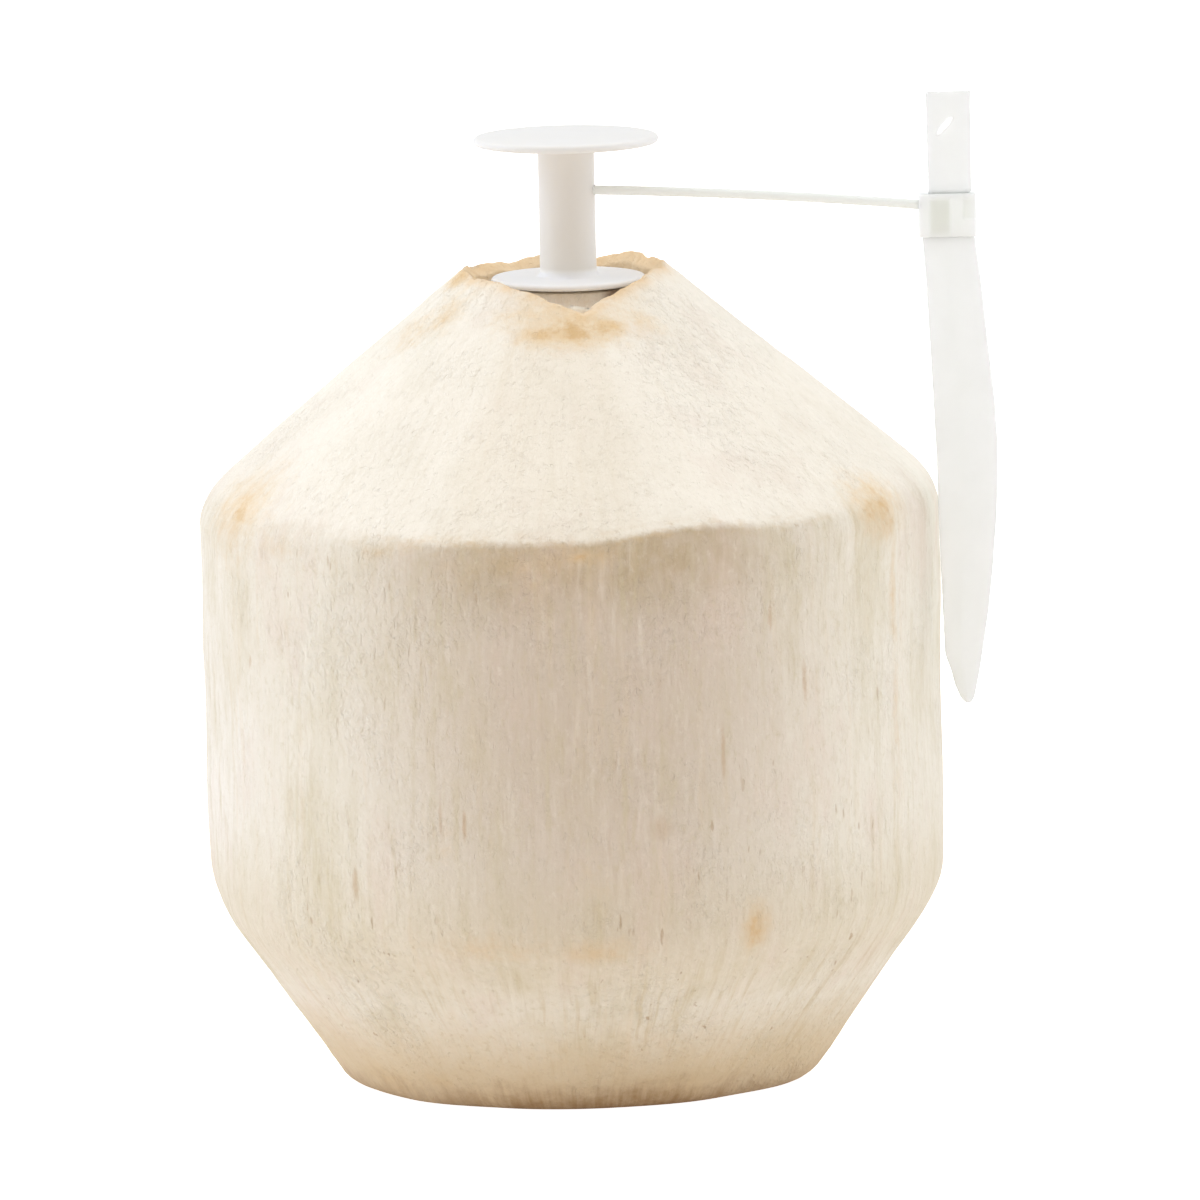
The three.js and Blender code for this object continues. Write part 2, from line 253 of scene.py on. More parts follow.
# The turned shape takes the knife's uneven work, and marks its ridge, rim and opening for the finish
husk = turned(divided(husk_profile, husk_spacing), husk_columns)
ridge = husk.verts.layers.float.new("ridge")
past_ridge = husk.verts.layers.float.new("past_ridge")
rim = husk.verts.layers.float.new("rim")
inside = husk.verts.layers.float.new("inside")
stained = husk.verts.layers.float.new("stained")
for vertex in husk.verts:
    radius, z = math.hypot(vertex.co.x, vertex.co.y), vertex.co.z
    azimuth = math.degrees(math.atan2(vertex.co.y, vertex.co.x))
    hole = opening_at(azimuth)
    scrap = scrap_rise * math.exp(-((azimuth - scrap_azimuth) / scrap_spread) ** 2)
    shoulder = shoulder_z + around(shoulder_rise, azimuth)
    outside = radius > opening_radius - hair
    across = 0.0
    if outside and z > shoulder_z:
        widened = (shoulder_radius - hole) / (shoulder_radius - opening_radius)
        z = apex_z - cone_slope * (hole + (radius - opening_radius) * widened)
    if outside and z > base_rounding * 0.9:
        radius = husk_radius(azimuth, z)
        rim_near = math.exp(-((radius - hole) / rim_reach) ** 2)
        softness = around(shoulder_softness, azimuth)
        vertex[ridge] = math.exp(-((z - shoulder) / ridge_reach) ** 2) * sharpest / softness
        vertex[past_ridge] = (z - shoulder) / softness
        vertex[rim] = rim_near
        z += scrap * rim_near
    elif outside or z < base_rounding:
        radius *= 1 + around(base_reach, azimuth) / base_radius * (1 - z / lower_edge_z)
    else:
        outward = clamp((radius - seat_radius - seat_flare) / (opening_radius - seat_radius - seat_flare))
        height = clamp((z - floor_z) / (rim_z - floor_z)) if outward > 0 else 0
        slope = (apex_z - shoulder) / shoulder_radius
        radius += (hole - opening_radius) * outward
        z += height * (scrap - slope * hole + cone_slope * opening_radius)
        across = stopper_x * (1 - outward)
        vertex[inside] = 1
        vertex[rim] = height ** 2
    turn = math.radians(azimuth)
    vertex.co = (radius * math.cos(turn) + across, radius * math.sin(turn), z)

# Slight hollows, furrows of the fibres and torn edges, all of them sunk into the husk (sizes and depths
# in mm). The cut base and the inside of the opening stay nearly flat.
husk.normal_update()
for vertex in husk.verts:
    spot = vertex.co / mm
    vertex[stained] = stain_at(spot)
    hollows = noise.noise(spot / 17) * 0.35 + noise.noise(spot / 6) * 0.12
    furrows = noise.noise(Vector((spot.x / 1.4, spot.y / 1.4, spot.z / 16))) * 0.07
    tears = noise.noise(spot / 2.6) * 0.35 + noise.noise(spot / 0.9) * 0.14
    torn = max(vertex[ridge] * 0.8, vertex[rim])
    height = (hollows + furrows) * (0.25 if vertex[inside] else 1) + tears * torn
    vertex.co += vertex.normal * min(height - 0.15, 0) * clamp((spot.z - 0.5) / 2) * mm

# A torn flap at the foot of the notch (mm)
flap_x, flap_y, flap_z = 1.7, -20.4, 121.2
flap_thickness = 0.25 * mm
flap = bmesh.ops.create_grid(husk, x_segments=6, y_segments=4, size=0.5)["verts"]
for vertex in flap:
    across, up = vertex.co.x, vertex.co.y + 0.5
    bend = noise.noise(Vector((across * 3, up * 2, 4))) * 0.5
    x = flap_x + across * 3.4 + up * 0.9
    y = flap_y + up * 1.5 + bend
    z = flap_z + up * 2.1 - across * 0.6
    vertex.co = Vector((x, y, z)) * mm
    vertex[rim] = 0.2
flap_faces = {face for vertex in flap for face in vertex.link_faces}
bmesh.ops.solidify(husk, geom=list(flap_faces), thickness=flap_thickness)

husk_piece = new_piece("husk", husk)
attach(husk_piece, "root")
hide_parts("coconut")


class Wire:
    """One output of a material's nodes. Arithmetic on it adds the Math nodes that work it out."""

    def __init__(self, tree, socket):
        self.tree = tree
        self.socket = socket

    def add(self, kind, settings, inputs, output=0):
        """A new node: its type, its settings, its sockets' values or links, and the output wanted."""
        node = self.tree.nodes.new(kind)
        for name, value in settings.items():
            setattr(node, name, value)
        for key, value in inputs.items():
            if isinstance(value, Wire):
                self.tree.links.new(value.socket, node.inputs[key])
            else:
                node.inputs[key].default_value = value
        return Wire(self.tree, node.outputs[output])

    def math(self, operation, *values):
        return self.add("ShaderNodeMath", {"operation": operation}, dict(enumerate(values)))

    def __add__(self, other):
        if self.socket.type == "VECTOR":
            return self.add("ShaderNodeVectorMath", {"operation": "ADD"}, {0: self, 1: other})
        return self.math("ADD", self, other)

    def __radd__(self, other):
        return self.math("ADD", other, self)

    def __sub__(self, other):
        return self.math("SUBTRACT", self, other)

    def __rsub__(self, other):
        return self.math("SUBTRACT", other, self)

    def __mul__(self, other):
        return self.math("MULTIPLY", self, other)

    def __rmul__(self, other):
        return self.math("MULTIPLY", other, self)

    def __truediv__(self, other):
        return self.math("DIVIDE", self, other)

    def __rtruediv__(self, other):
        return self.math("DIVIDE", other, self)

    def __pow__(self, other):
        return self.math("POWER", self, other)

    def greater(self, other):
        """The greater of this value and another."""
        return self.math("MAXIMUM", self, other)

    def between(self, low, high):
        """0 at low and beyond it, 1 at high and beyond it, and a smooth change between them."""
        settings = {"interpolation_type": "SMOOTHSTEP"}
        inputs = {"Value": self, "From Min": low, "From Max": high}
        return self.add("ShaderNodeMapRange", settings, inputs)

    def mix(self, first, second):
        """A colour that goes from the first to the second as this share goes from 0 to 1."""
        settings = {"data_type": "RGBA", "clamp_factor": True}
        return self.add("ShaderNodeMix", settings, {0: self, 6: first, 7: second}, output=2)

    def tinted(self, colour, share):
        """This colour moved towards another by a share that varies."""
        return share.mix(self, colour)

    def part(self, axis):
        """One coordinate of this position: x for 0, y for 1 and z for 2."""
        return self.add("ShaderNodeSeparateXYZ", {}, {0: self}, output=axis)

    def noise(self, scale, detail=2.0, roughness=0.5):
        """Cloudy noise read at this position, from 0 to 1."""
        inputs = {"Vector": self, "Scale": scale, "Detail": detail, "Roughness": roughness}
        return self.add("ShaderNodeTexNoise", {}, inputs)

    def scaled(self, x, y, z):
        """This position stretched along the axes."""
        return self.add("ShaderNodeVectorMath", {"operation": "MULTIPLY"}, {0: self, 1: (x, y, z)})

    def times(self, share):
        """This position scaled by a share that varies."""
        return self.add("ShaderNodeVectorMath", {"operation": "SCALE"}, {0: self, 3: share})

    def distance(self, point):
        """Distance of this position from a fixed point."""
        return self.add("ShaderNodeVectorMath", {"operation": "DISTANCE"}, {0: self, 1: point}, output=1)

    def near(self, point, reach, fade):
        """1 round a fixed point and 0 past its reach. The change takes up a share of that reach."""
        return (1 - self.distance(point) / reach).between(0, fade)

    def attribute(self, name):
        """A value stored on the mesh."""
        return self.add("ShaderNodeAttribute", {"attribute_name": name}, {}, output=2)

    def bump(self, height, reach, strength):
        """The normal of a surface whose height is given in reaches, of so many metres each."""
        return self.add("ShaderNodeBump", {}, {"Height": height, "Distance": reach, "Strength": strength})


def new_finish(name):
    """A material, its Principled shader, and its position in object coordinates as a wire."""
    material = bpy.data.materials.new(name)
    material.use_nodes = True
    tree = material.node_tree
    shader = tree.nodes["Principled BSDF"]
    coordinates = tree.nodes.new("ShaderNodeTexCoord")
    return material, shader, Wire(tree, coordinates.outputs["Object"])


def feed(shader, **wires):
    """Links wires to the shader's sockets, named with underscores for spaces."""
    for name, wire in wires.items():
        wire.tree.links.new(wire.socket, shader.inputs[name.replace("_", " ")])


def colour(red, green, blue):
    """A colour given as screen values from 0 to 255, in Blender's linear values."""
    return tuple((value / 255) ** 2.2 for value in (red, green, blue)) + (1.0,)


cone_cream = colour(252, 245, 230)
belly_cream = colour(237, 230, 213)
painted_light_cream = colour(246, 241, 231)
weathered_and_shade_tone = colour(211, 196, 177)
straw = colour(226, 206, 172)
khaki = colour(204, 191, 154)
low_khaki = colour(213, 196, 161)
ridge_shade_khaki = colour(193, 174, 144)
blush = colour(226, 203, 186)
flat_shade_beige = colour(240, 228, 206)
pit_beige = colour(216, 201, 178)
ochre = colour(236, 204, 154)
belly_ochre = colour(222, 194, 152)
ridge_ochre = colour(214, 188, 146)
rim_ochre = colour(242, 208, 160)
russet = colour(208, 166, 108)
foot_tan_and_shade = colour(221, 199, 161)
bark_brown = colour(172, 140, 102)
knife_brown = colour(190, 156, 116)
opening_ochre = colour(244, 220, 184)
seat_cream = colour(254, 247, 236)
corner_shade_brown = colour(140, 106, 80)

husk_finish, husk_shader, place = new_finish("pared_husk")
level = place.scaled(1, 1, 0)
sideways = place.part(0)
forward = 0 - place.part(1)
height = place.part(2)

# Fibres run up the husk: positions are drawn out along Z and spread evenly round the axis
off_axis = level.distance((0, 0, 0)).greater(9 * mm)
around_axis = level.times(shoulder_radius / off_axis)
three_noises = place.add("ShaderNodeTexNoise", {}, {"Vector": place, "Scale": 110, "Detail": 2.0}, output=1)
wander = three_noises.scaled(0.0016, 0.0016, 0.0006)
grain = around_axis + place.scaled(0, 0, 0.11) + wander
strands = (around_axis + place.scaled(0, 0, 0.08) + wander).noise(400, 4, 0.65)
streaks = grain.noise(620, 3, 0.6)
fibres = grain.noise(1700, 3, 0.65)

# Blotches and roughness that run no way in particular
patches = place.scaled(1, 1, 0.5).noise(60, 3, 0.55)
mottle = place.scaled(1, 1, 0.4).noise(80, 5, 0.62)
worn = place.scaled(1, 1, 0.6).noise(55, 3, 0.6).between(0.36, 0.62) * 0.75 + 0.25
warp = place.noise(260, 4, 0.65)
grit = place.scaled(1, 1, 0.65).noise(950, 4, 0.7)
ragged = place.scaled(1, 1, 0.5).noise(600, 4, 0.7) - 0.5
on_cone = (place.attribute("past_ridge") + ragged).between(-0.6, 0.6)

# The front and the back of the belly are darker than its sides: partly weathering, partly painted shade for
# the dim light there
squat = place.scaled(1, 1, 0.6)
front_weathering_and_shade = squat.near((4 * mm, -62 * mm, 45 * mm), 52 * mm, 0.8)
back_weathering_and_shade = squat.near((-12 * mm, 60 * mm, 40 * mm), 48 * mm, 0.75)
weathering_and_shade_patch = front_weathering_and_shade.greater(back_weathering_and_shade) * (0.25 + height.between(20 * mm, 34 * mm) * 0.75)
low_band = height.between(46 * mm, 32 * mm) * height.between(16 * mm, 26 * mm)
# Painted shade under the shoulder ridge, tinted browner, most on the darker patches
under_ridge_shade = height.between(77 * mm, 90.5 * mm) * (0.4 + warp.between(0.3, 0.7) * 0.6)
under_ridge_shade = under_ridge_shade * weathering_and_shade_patch * weathering_and_shade_patch * 1.35
# Painted light: the far left of the belly is made paler
far_left_painted_light = place.near((-62 * mm, -8 * mm, 58 * mm), 36 * mm, 0.6)
belly_tone = (far_left_painted_light * 0.6).mix(belly_cream, painted_light_cream)
belly_tone = belly_tone.tinted(weathered_and_shade_tone, weathering_and_shade_patch)
belly_tone = belly_tone.tinted(low_khaki, low_band * 0.34)
belly_tone = belly_tone.tinted(ridge_shade_khaki, under_ridge_shade)

# Painted shade: one flat of the upper cone, in front, is made a little darker and browner than those beside
# it
cone_tone = (patches.between(0.45, 0.75) * 0.4).mix(cone_cream, belly_cream)
flat_across = sideways / forward.greater(6 * mm) + (warp - 0.5) * 0.1
front_flat_shade = flat_across.between(-0.44, -0.32) * flat_across.between(0.28, 0.14)
front_flat_shade = front_flat_shade * forward.between(10 * mm, 20 * mm)
cone_tone = cone_tone.tinted(flat_shade_beige, front_flat_shade * 0.35)

# Painted shade: the left side and the back are made a little darker, against the strong light there
turned_away_shade = sideways.between(-34 * mm, -50 * mm) * 0.55
turned_away_shade = turned_away_shade.greater(forward.between(6 * mm, -14 * mm)) * 0.27
cone_tone = cone_tone.tinted(weathered_and_shade_tone, turned_away_shade)
belly_tone = belly_tone.tinted(weathered_and_shade_tone, turned_away_shade * 0.4)
tone = belly_tone.tinted(cone_tone, on_cone)

# Mottling, then strands, streaks, fibres and grit, all fainter on the freshly cut cone
tone = tone.tinted(khaki, mottle.between(0.48, 0.7) * (0.36 - on_cone * 0.28))
tone = tone.tinted(blush, mottle.between(0.5, 0.3) * (0.34 - on_cone * 0.14))
tone = tone.tinted(straw, strands.between(0.52, 0.75) * (0.26 - on_cone * 0.16))
tone = tone.tinted(cone_cream, strands.between(0.46, 0.26) * 0.1)
tone = tone.tinted(khaki, streaks.between(0.5, 0.72) * (0.42 - on_cone * 0.34) * worn)
tone = tone.tinted(cone_cream, streaks.between(0.48, 0.26) * 0.22 * worn)
tone = tone.tinted(cone_cream, fibres.between(0.5, 0.8) * 0.1)
tone = tone.tinted(bark_brown, fibres.between(0.5, 0.25) * (0.15 - on_cone * 0.09) * worn)
tone = tone.tinted(khaki, grit.between(0.52, 0.72) * (0.3 - on_cone * 0.2))
tone = tone.tinted(cone_cream, grit.between(0.46, 0.28) * 0.16)
tone = tone.tinted(bark_brown, grit.between(0.55, 0.72) * height.between(26 * mm, 4 * mm) * 0.24)

# Soft pits, in some places only
pit_places = place.noise(70, 3, 0.6).between(0.4, 0.62)
pits = place.scaled(1, 1, 0.7).noise(560, 3, 0.55).between(0.46, 0.74) * pit_places
tone = tone.tinted(pit_beige, pits * 0.12)

# Short brown flecks, where bundles of fibres are cut through, thicker in some places than in others
flecks = place.scaled(1, 1, 0.24).noise(820, 2, 0.5).between(0.68, 0.77)
fleck_places = place.noise(45, 2, 0.5).between(0.42, 0.66) + height.between(45 * mm, 8 * mm) * 0.5
tone = tone.tinted(bark_brown, flecks * fleck_places * (0.5 - on_cone * 0.28))
tone = tone.tinted(russet, streaks.between(0.52, 0.72) * height.between(36 * mm, 6 * mm) * 0.16)

# The worn ridge, the inside of the opening with its pale seat and painted shade in one corner under the
# flange, and the torn rim
ridge_worn = place.attribute("ridge") * place.scaled(1, 1, 2.5).noise(300, 4, 0.65).between(0.42, 0.72)
tone = tone.tinted(ridge_ochre, ridge_worn * 0.6)
inside_tone = (warp.between(0.5, 0.75) * 0.4).mix(opening_ochre, russet)
inside_tone = inside_tone.tinted(seat_cream, height.between(124.8 * mm, 123.8 * mm))
# Painted shade: the corner under the flange at the right of the opening is darkened
corner_shade = (place.distance((8.5 * mm, -8 * mm, 123.2 * mm)) / (3.6 * mm)).between(1.0, 0.3)
inside_tone = inside_tone.tinted(corner_shade_brown, corner_shade * 0.8)
tone = tone.tinted(inside_tone, place.attribute("inside"))
rim_torn = place.attribute("rim") * (0.4 + warp.between(0.3, 0.6) * 0.6)
tone = tone.tinted(rim_ochre, rim_torn * 0.75)

# Stains with cloudy edges and a redder middle
stain = (place.attribute("stained") + (place.noise(330, 5, 0.7) - 0.5) * 1.1).between(0.0, 1.15)
tone = tone.tinted(on_cone.mix(belly_ochre, ochre), stain)
tone = tone.tinted(russet, stain.between(0.55, 0.95) * warp.between(0.35, 0.65) * 0.5)

# Short brown marks where the knife has caught: (x, z, reach across and up in mm, strength)
knife_marks = ((30.2, 79.2, 0.35, 1.4, 0.5), (35.3, 69.0, 0.35, 3.0, 0.5), (22.7, 58.9, 0.3, 3.6, 0.4),
               (-16.9, 48.9, 0.3, 2.0, 0.5), (-33.8, 38.7, 0.45, 2.4, 0.45), (13.2, 48.1, 1.5, 1.6, 0.25),
               (-49.6, 70.6, 0.25, 0.9, 0.5), (-20.5, 50.0, 0.25, 3.0, 0.3))
mark_depth = 0.3
for x, z, across, tall, strength in knife_marks:
    mark_height = across / tall
    y = -math.sqrt((lower_edge_radius / mm) ** 2 - x ** 2)
    middle = (x * mm, y * mark_depth * mm, z * mark_height * mm)
    away = place.scaled(1, mark_depth, mark_height).distance(middle) / (across * mm)
    tone = tone.tinted(knife_brown, (away + (grit - 0.5) * 2.4).between(1.6, 0.3) * strength)

# The foot darkens up to a ragged line, and more in front: partly browning, partly painted shade where it
# meets the floor
foot_browning_and_shade = height + (warp - 0.5) * (8 * mm) + (streaks - 0.5) * (6 * mm)
foot_front_browning_and_shade = level.near((4 * mm, -40 * mm, 0), 34 * mm, 0.7)
tone = tone.tinted(foot_tan_and_shade, foot_browning_and_shade.between(20 * mm, 4 * mm) * 0.78)
tone = tone.tinted(bark_brown, foot_browning_and_shade.between(6 * mm, -1.6 * mm) * (0.6 + foot_front_browning_and_shade * 0.45))

# Relief: small knots of torn fibre stand up in places, and pits, pores and flecks are sunk
knot_places = place.noise(48, 3, 0.5).between(0.48, 0.64)
knots = place.scaled(1, 1, 0.75).noise(850, 3, 0.6).between(0.4, 0.75) * (0.15 + knot_places * 0.5)
pores = place.scaled(1, 1, 0.4).noise(1100, 2, 0.5).between(0.6, 0.72)
raised = strands * 0.3 + streaks * worn * 0.4 + grit * 0.7 + knots + warp * 0.9
sunk = pits * 0.4 + pores * 0.25 + flecks * 0.2
feed(husk_shader, Base_Color=tone, Roughness=0.75 + streaks * 0.2,
     Normal=place.bump(raised - sunk, 0.4 * mm, 0.85))
husk_piece.data.materials.append(husk_finish)


# Stopper
# A white moulding turned true about one axis: a wide disc to grip, a round stem, and a flange that sits
# in the opening over a short spigot. A thin arm springs from the stem to the collar that holds the scoop.
disc_radius = 14.4 * mm
disc_top_z = 147.7 * mm
disc_thickness = 1.3 * mm
stem_radius = 4.4 * mm
stem_fillet = 0.9 * mm
flange_radius = 12 * mm
flange_top_z = 125.75 * mm
flange_thickness = 1.0 * mm
spigot_radius = 5.0 * mm
spigot_bottom_z = 113.5 * mm
spigot_lead_in = 1 * mm
spigot_lead_height = 2 * mm
flange_bottom_z = flange_top_z - flange_thickness
disc_bottom_z = disc_top_z - disc_thickness
flange_edge = flange_thickness / 2
disc_edge = disc_thickness / 2
stopper_profile = [
    (0, spigot_bottom_z),
    (spigot_radius - spigot_lead_in, spigot_bottom_z),
    (spigot_radius, spigot_bottom_z + spigot_lead_height),
    (spigot_radius, flange_bottom_z),
    *arc((flange_radius - flange_edge, flange_bottom_z + flange_edge), flange_edge, -90, 90, 8),
    *arc((stem_radius + stem_fillet, flange_top_z + stem_fillet), stem_fillet, 270, 180, 6),
    *arc((stem_radius + stem_fillet, disc_bottom_z - stem_fillet), stem_fillet, 180, 90, 6),
    *arc((disc_radius - disc_edge, disc_bottom_z + disc_edge), disc_edge, -90, 90, 8),
    (0, disc_top_z),
]
stopper = turned(stopper_profile, 96)
bmesh.ops.translate(stopper, verts=stopper.verts, vec=(stopper_x, 0, 0))
stopper_piece = new_piece("stopper_body", stopper)
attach(stopper_piece, "root")
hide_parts("stopper")


def let_light_in(shader, weight, tint, reach):
    """Sets how much light goes into a plastic, how each colour of it fares, and how far it goes."""
    shader.inputs["Subsurface Weight"].default_value = weight
    shader.inputs["Subsurface Radius"].default_value = tint
    shader.inputs["Subsurface Scale"].default_value = reach


# Painted shade makes the stem and the disc's rim a little greyer than the flange, and painted light makes
# the flange whiter, though all are one plastic
stem_shade_grey = colour(230, 226, 218)
disc_rim_shade_grey = colour(226, 225, 221)
flange_painted_light = colour(255, 255, 253)
plastic_finish, plastic_shader, place = new_finish("white_plastic")
height = place.part(2)
off_stem = place.scaled(1, 1, 0).distance((stopper_x, 0, 0))
plastic_cloud = place.noise(120, 3, 0.5)
plastic_tone = plastic_cloud.mix(colour(244, 242, 238), colour(240, 238, 233))
# Painted shade on the stem, under the disc
stem_shade_zone = off_stem.between(6 * mm, 4.8 * mm) * height.between(disc_top_z, disc_bottom_z)
plastic_tone = plastic_tone.tinted(stem_shade_grey, stem_shade_zone * 0.9)
# Painted light on the flange
plastic_tone = plastic_tone.tinted(flange_painted_light, height.between(127.4 * mm, 126.2 * mm))
# Painted shade on the disc's rim
disc_rim_shade_zone = off_stem.between(13.3 * mm, 14.2 * mm) * height.between(disc_top_z, disc_top_z - 0.5 * mm)
plastic_tone = plastic_tone.tinted(disc_rim_shade_grey, disc_rim_shade_zone * 0.6)
feed(plastic_shader, Base_Color=plastic_tone, Roughness=0.3 + plastic_cloud * 0.15,
     Normal=place.bump(place.noise(700, 2, 0.5), 0.01 * mm, 0.4))
let_light_in(plastic_shader, 0.8, (1.0, 0.97, 0.9), 0.5 * mm)
stopper_piece.data.materials.append(plastic_finish)


# Arm
# A thin round rod, moulded in one with the stem, that bows down under the scoop's weight on its way to
# the collar.
arm_radius = 0.75 * mm
arm_start_z = 139.2 * mm
arm_end_z = 137.4 * mm
arm_steps = 40
collar_left = 54.75 * mm
slot_left = 55.95 * mm
collar_y = -14 * mm
arm_start = Vector((stopper_x, 0, arm_start_z))
arm_end = Vector(((collar_left + slot_left) / 2, collar_y, arm_end_z))
arm_course = (arm_end - arm_start).normalized()
upright = Matrix.Translation(arm_start) @ arm_course.to_track_quat("Z", "Y").to_matrix().to_4x4()
arm = bmesh.new()
bmesh.ops.create_circle(arm, cap_ends=False, radius=arm_radius, segments=20, matrix=upright)
ring = list(arm.edges)
for step in range(1, arm_steps + 1):
    moved = bmesh.ops.extrude_edge_only(arm, edges=ring)["geom"]
    ring = [part for part in moved if isinstance(part, bmesh.types.BMEdge)]
    verts = [part for part in moved if isinstance(part, bmesh.types.BMVert)]
    share, before = step / arm_steps, (step - 1) / arm_steps
    drop = (arm_end_z - arm_start_z) * (share ** 2 - share - before ** 2 + before)
    bmesh.ops.translate(arm, verts=verts, vec=(arm_end - arm_start) / arm_steps + Vector((0, 0, drop)))
bmesh.ops.holes_fill(arm, edges=arm.edges)
bmesh.ops.recalc_face_normals(arm, faces=arm.faces)
arm_piece = new_piece("stopper_arm", arm)
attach(arm_piece, "root")
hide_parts("stopper")

thin_finish, thin_shader, place = new_finish("thin_white_plastic")
thin_cloud = place.noise(260, 3, 0.5)
thin_tone = thin_cloud.mix(colour(245, 248, 243), colour(239, 242, 236))
feed(thin_shader, Base_Color=thin_tone, Roughness=0.3 + thin_cloud * 0.15)
let_light_in(thin_shader, 0.8, (1.0, 1.0, 0.97), 0.4 * mm)
arm_piece.data.materials.append(thin_finish)


# Collar
# The moulded box at the arm's end that the scoop's neck is pushed through. Bars stand proud of its front,
# and leave one panel sunk between them and a smaller one at the right corner.
collar_depth = 3.6 * mm
collar_blocks = (
    # x from, x to, depth from, depth to, z from, z to (mm): the box first, then its bars
    (54.75, 63.65, 0.95, 3.6, 132.4, 139.1),
    (54.75, 56.35, 0.75, 1.2, 132.4, 139.1),
    (54.75, 63.65, 0.75, 1.2, 138.4, 139.1),
    (59.7, 61.6, 0.75, 1.2, 132.4, 139.1),
    (59.7, 63.65, 0.75, 1.2, 132.4, 135.2),
)
collar = bmesh.new()
for left, right, near, far, low, high in collar_blocks:
    size = Vector((right - left, far - near, high - low)) * mm
    middle = Vector((left + right, near + far, low + high)) / 2 * mm
    middle += Vector((0, collar_y - collar_depth / 2, 0))
    bmesh.ops.create_cube(collar, matrix=Matrix.Translation(middle) @ Matrix.Diagonal((*size, 1)))
collar_piece = new_piece("collar", collar)
collar_union = collar_piece.modifiers.new("one_moulding", "REMESH")
collar_union.mode = "VOXEL"
collar_union.voxel_size = 0.14 * mm
collar_union.use_smooth_shade = True
collar_soft = collar_piece.modifiers.new("rounded_edges", "SMOOTH")
collar_soft.factor = 0.5
collar_soft.iterations = 5
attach(collar_piece, "root")
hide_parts("stopper")

# Painted shade: the two sunk panels are tinted greyer
panel_shade_grey = colour(218, 219, 212)
collar_finish, collar_shader, place = new_finish("collar_plastic")
sideways = place.part(0)
height = place.part(2)
panel_shade_zone = sideways.between(56.0 * mm, 57.2 * mm) * sideways.between(60.1 * mm, 58.9 * mm)
panel_shade_zone = panel_shade_zone * height.between(139.0 * mm, 137.6 * mm) * height.between(131.8 * mm, 133.8 * mm)
corner_panel_shade_zone = sideways.between(61.3 * mm, 61.9 * mm) * height.between(135.0 * mm, 135.6 * mm)
collar_cloud = place.noise(260, 3, 0.5)
collar_tone = collar_cloud.mix(colour(244, 248, 244), colour(238, 242, 237))
collar_tone = collar_tone.tinted(panel_shade_grey, panel_shade_zone * 0.55 + corner_panel_shade_zone * 0.25)
feed(collar_shader, Base_Color=collar_tone, Roughness=0.3 + collar_cloud * 0.15)
let_light_in(collar_shader, 1.0, (1.0, 1.0, 0.97), 3 * mm)
collar_piece.data.materials.append(collar_finish)


# Scoop
# A see-through strip pushed through the collar, that widens below it to a hanging blade with a crease
# down its length and thin edges.
scoop_levels = (
    # z, left edge, right edge (mm), from the handle's top through the neck to the blade's tip
    (154.9, 56.1, 63.05), (139.16, 56.3, 62.95), (139.1, 56.3, 62.4), (132.4, 56.3, 62.4),
    (132.34, 55.3, 63.35), (125.6, 55.75, 64.2), (116.0, 56.2, 65.1), (106.8, 56.6, 66.05),
    (99.8, 56.85, 66.4), (95.0, 57.0, 66.4), (88.0, 57.1, 66.0), (81.0, 57.3, 65.4),
    (74.0, 57.5, 64.6), (67.1, 57.75, 63.5), (64.7, 58.6, 63.1), (62.3, 59.2, 62.6),
    (60.4, 60.0, 62.2), (59.6, 60.7, 61.7),
)
scoop_thickness = 0.9 * mm
scoop_edge = 0.45 * mm
crease_share = 0.42
blade_top_z = 132.34 * mm
blade_dish = 0.35 * mm
dish_run_in = 4 * mm


def scoop_sides(z):
    """The left and right edge of the scoop at a height, all in metres."""
    for (high, left, right), (low, lower_left, lower_right) in zip(scoop_levels, scoop_levels[1:]):
        if z >= low * mm:
            share = (high * mm - z) / (high - low) / mm
            return (left + (lower_left - left) * share) * mm, (right + (lower_right - right) * share) * mm
    return scoop_levels[-1][1] * mm, scoop_levels[-1][2] * mm


scoop = bmesh.new()
scoop_top, scoop_bottom = scoop_levels[0][0] * mm, scoop_levels[-1][0] * mm
bmesh.ops.create_grid(scoop, x_segments=16, y_segments=240, size=0.5)
back_side = scoop.verts.layers.int.new("back_side")
copied = bmesh.ops.extrude_face_region(scoop, geom=scoop.faces[:], use_keep_orig=True)["geom"]
for part in copied:
    if isinstance(part, bmesh.types.BMVert):
        part[back_side] = 1
for vertex in scoop.verts:
    z = scoop_bottom + (scoop_top - scoop_bottom) * (vertex.co.y + 0.5)
    left, right = scoop_sides(z)
    share = vertex.co.x + 0.5
    from_crease = (share - crease_share) / (1 - crease_share if share > crease_share else crease_share)
    dished = clamp((blade_top_z - z) / dish_run_in) * abs(from_crease)
    thickness = scoop_thickness - (scoop_thickness - scoop_edge) * abs(from_crease) ** 1.5
    side = 1 if vertex[back_side] else -1
    vertex.co = (left + (right - left) * share, collar_y + side * thickness / 2 + blade_dish * dished, z)
bmesh.ops.recalc_face_normals(scoop, faces=scoop.faces)
scoop_piece = new_piece("scoop_strip", scoop)
scoop_round = scoop_piece.modifiers.new("rounded_edges", "BEVEL")
scoop_round.width = 0.12 * mm
scoop_round.segments = 2
scoop_round.limit_method = "ANGLE"
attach(scoop_piece, "root")
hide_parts("scoop")

milky_finish, milky_shader, place = new_finish("milky_plastic")
milky_cloud = place.noise(160, 3, 0.5)
milky_tone = milky_cloud.mix(colour(241, 246, 241), colour(235, 240, 234))

